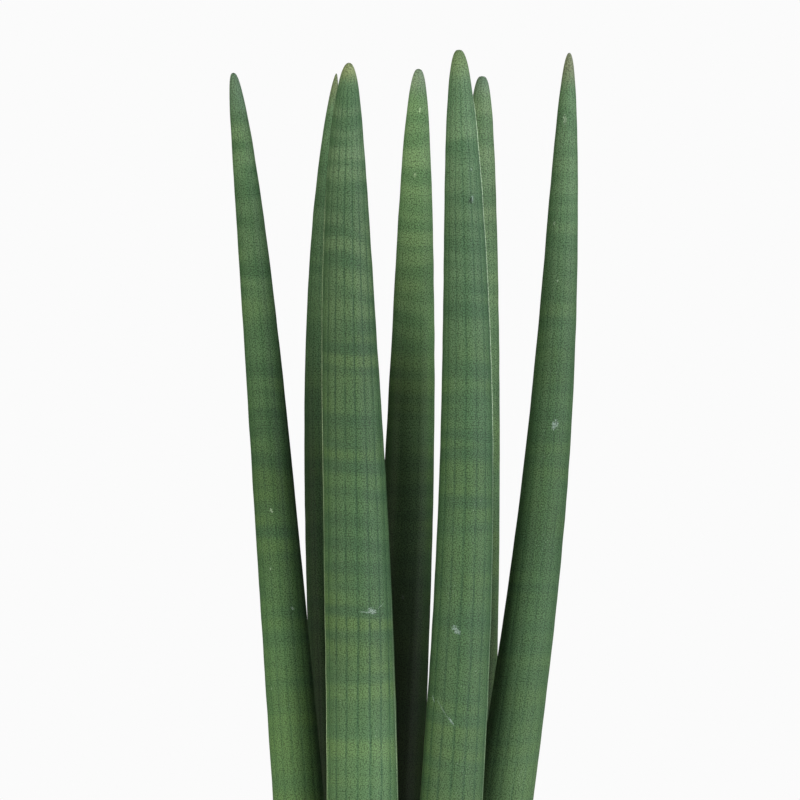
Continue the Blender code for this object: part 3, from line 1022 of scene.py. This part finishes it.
def soil_object(material):
    """The soil: a crumbly top and plain sides down to the pot's floor."""
    floor = POT_FLOOR + SOIL_GAP
    edge = inner_radius(SOIL_LEVEL) - SOIL_GAP
    points = [(0, 0, floor)]
    rings = [(inner_radius(floor) - SOIL_FOOT_GAP, floor), (edge, None)]
    rings += [(edge * (1 - i / SOIL_RINGS), None) for i in range(1, SOIL_RINGS)]
    for radius, height in rings:
        for i in range(SOIL_SIDES):
            x, y = radius * cos(tau * i / SOIL_SIDES), radius * sin(tau * i / SOIL_SIDES)
            points.append((x, y, soil_height(x, y) if height is None else height))
    points.append((0, 0, soil_height(0, 0)))
    end = len(points) - 1
    last = end - SOIL_SIDES
    faces = [tuple(i + 1 for i in face) for face in ring_faces(len(rings), SOIL_SIDES)]
    for i in range(SOIL_SIDES):
        j = (i + 1) % SOIL_SIDES
        faces.append((0, 1 + j, 1 + i))
        faces.append((last + i, last + j, end))
    return add_object("soil_body", smooth_mesh("soil_body", points, faces), material)


def soil_material():
    """Dark peaty potting mix with paler fibres."""
    paint = Paint("soil", SOIL_SPECULAR)
    clods = paint.noise(*CLODS)
    colour = paint.mix(paint.span(clods, *TONE_RANGE), DARK_PEAT, PALE_PEAT)
    fibres = paint.span(paint.noise(*FIBRES), *FIBRE_RANGE, 0.0, FIBRE_STRENGTH)
    colour = paint.mix(fibres, colour, FIBRE)
    grain = paint.noise(*SOIL_GRAIN)
    colour = paint.dim(colour, paint.swing(grain, *SOIL_GRAIN_DIMS))
    return paint.finish(colour, SOIL_ROUGHNESS, paint.math("ADD", clods, grain), SOIL_BUMP)


def bit_material(name, bits):
    """Small loose bits of one kind, each a little different from the next."""
    paint = Paint(name, BIT_SPECULAR)
    tone = paint.span(paint.noise(*BIT_TONES), *TONE_RANGE)
    colour = paint.mix(tone, bits["dark"], bits["pale"])
    grain = paint.noise(bits["grain"], *BIT_GRAIN)
    colour = paint.dim(colour, paint.swing(grain, *BIT_GRAIN_DIMS))
    return paint.finish(colour, BIT_ROUGHNESS, grain, BIT_BUMP)


def clear_of_leaves(x, y, margin):
    """True where a bit of this size can lie without touching a leaf."""
    for leaf in LEAVES.values():
        reach = leaf["width"] / 2 * (1 - BASE_NARROWING) * MM + margin
        if (x - leaf["side"][0] * MM) ** 2 + (y - leaf["depth"][0] * MM) ** 2 < reach**2:
            return False
    return True


def bit_points(rng, size, flatness):
    """Corners of one rough bit, from a ball whose points are pushed in and out at random."""
    ball = bpy.data.meshes["pebble_form"]
    tallest = flatness + BIT_HEIGHT_SPREAD
    squeeze = Vector((1, rng.uniform(*BIT_WIDTHS), rng.uniform(flatness, tallest)))
    seed = Vector((rng.uniform(0, BIT_SEED_REACH), rng.uniform(0, BIT_SEED_REACH), 0))
    turn = rng.uniform(0, tau)
    made = []
    for vertex in ball.vertices:
        way = vertex.co.normalized()
        bulge = 1 + BIT_LUMP * noise.noise(way * BIT_LUMP_COUNT + seed)
        local = Vector((way.x * squeeze.x, way.y * squeeze.y, way.z * squeeze.z)) * bulge
        x = local.x * cos(turn) - local.y * sin(turn)
        y = local.x * sin(turn) + local.y * cos(turn)
        made.append(Vector((x, y, local.z)) * size)
    return made


def scatter(kind, bits):
    """Loose bits lying on the soil, pressed a little into it, all as one piece."""
    rng = random.Random(bits["seed"])
    ball = bpy.data.meshes["pebble_form"]
    points, faces = [], []
    smallest, largest = (size * MM for size in bits["sizes"])
    flatness = bits["flatness"]
    wall = inner_radius(SOIL_LEVEL)
    count = bits["count"]
    while count:
        size = smallest + (largest - smallest) * rng.random() ** 2
        radius = (wall - size - BIT_WALL_GAP) * rng.random() ** 0.5
        turn = rng.uniform(0, tau)
        x, y = radius * cos(turn), radius * sin(turn)
        if not clear_of_leaves(x, y, size):
            continue
        lift = BIT_LIFT * size * (flatness + BIT_HEIGHT_SPREAD)
        base = Vector((x, y, soil_height(x, y) + lift))
        start = len(points)
        points += [base + corner for corner in bit_points(rng, size, flatness)]
        faces += [tuple(start + v for v in face.vertices) for face in ball.polygons]
        count -= 1
    name = f"soil_{kind}"
    mesh = smooth_mesh(name, points, faces)
    mesh.set_sharp_from_angle(angle=BIT_SHARP_ANGLE)
    ride_for(add_object(name, mesh, bit_material(kind, bits)), "soil")


def make_pebble_form():
    """The ball that every loose bit starts from."""
    bpy.ops.mesh.primitive_ico_sphere_add(subdivisions=2, radius=1)
    ball = bpy.context.object
    ball.data.name = "pebble_form"
    ball.data.use_fake_user = True
    bpy.data.objects.remove(ball)


def add_soil():
    ride_for(soil_object(soil_material()), "soil", "soil")
    make_pebble_form()
    for kind, bits in BITS.items():
        scatter(kind, bits)


def rhizome_material():
    """Fleshy orange-tan rhizome skin with paler and darker rings."""
    paint = Paint("rhizome_skin", RHIZOME_SPECULAR)
    rings = paint.span(paint.noise(*RHIZOME_RINGS), *RHIZOME_RING_RANGE)
    colour = paint.mix(rings, DARK_RHIZOME, PALE_RHIZOME)
    grain = paint.noise(*RHIZOME_GRAIN)
    colour = paint.dim(colour, paint.swing(grain, *RHIZOME_GRAIN_DIMS))
    return paint.finish(colour, RHIZOME_ROUGHNESS, grain, RHIZOME_BUMP)


def dress_rhizome(node):
    material = rhizome_material()
    for slot in node.material_slots:
        slot.material = material


def add_camera():
    data = bpy.data.cameras.new("camera")
    data.sensor_width = SENSOR
    data.lens = SENSOR * CAMERA_DISTANCE / FRAME_WIDTH
    data.clip_end = CLIP_END
    camera = bpy.data.objects.new("camera", data)
    camera.location = (VIEW_CENTRE[0], -CAMERA_DISTANCE, VIEW_CENTRE[1])
    camera.rotation_euler = (radians(90), 0, 0)
    bpy.context.collection.objects.link(camera)
    bpy.context.scene.camera = camera


def add_light(name, azimuth, elevation, power, tone):
    """A soft box aimed at the middle of the leaves."""
    a, e = radians(azimuth), radians(elevation)
    way = Vector((sin(a) * cos(e), -cos(a) * cos(e), sin(e)))
    data = bpy.data.lights.new(name, "AREA")
    data.shape = "RECTANGLE"
    data.size, data.size_y = LIGHT_SIZE
    data.energy = power
    data.color = tone
    light = bpy.data.objects.new(name, data)
    light.location = LIGHT_AIM + way * LIGHT_DISTANCE
    light.rotation_euler = (-way).to_track_quat("-Z", "Y").to_euler()
    light.visible_camera = False
    bpy.context.collection.objects.link(light)


def add_world():
    """White behind the plant, and a faint even fill."""
    world = bpy.data.worlds.new("studio")
    bpy.context.scene.world = world
    world.use_nodes = True
    nodes, links = world.node_tree.nodes, world.node_tree.links
    nodes.clear()
    path = nodes.new("ShaderNodeLightPath")
    seen = nodes.new("ShaderNodeBackground")
    seen.inputs["Color"].default_value = (BACKDROP, BACKDROP, BACKDROP, 1)
    fill = nodes.new("ShaderNodeBackground")
    fill.inputs["Strength"].default_value = FILL
    fill.inputs["Color"].default_value = (*WHITE, 1)
    mix = nodes.new("ShaderNodeMixShader")
    out = nodes.new("ShaderNodeOutputWorld")
    links.new(path.outputs["Is Camera Ray"], mix.inputs["Fac"])
    links.new(fill.outputs[0], mix.inputs[1])
    links.new(seen.outputs[0], mix.inputs[2])
    links.new(mix.outputs[0], out.inputs["Surface"])


def add_floor():
    turns = [tau * i / FLOOR_SIDES for i in range(FLOOR_SIDES)]
    ring = [(FLOOR_RADIUS * cos(turn), FLOOR_RADIUS * sin(turn), 0) for turn in turns]
    mesh = bpy.data.meshes.new("floor")
    mesh.from_pydata(ring, [], [tuple(range(FLOOR_SIDES))])
    material = Paint("floor", FLOOR_SPECULAR).finish(FLOOR_COLOUR, FLOOR_ROUGHNESS)
    add_object("floor", mesh, material)


def main():
    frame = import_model()
    add_leaves()
    add_soil()
    ride_for(pot_object(pot_material()), "terracotta", "pot")
    dress_rhizome(frame["nodes"]["rhizome"])
    add_camera()
    add_world()
    add_floor()
    for name, place in LIGHTS.items():
        add_light(name, *place)
    bpy.context.scene.view_settings.view_transform = "Standard"


main()
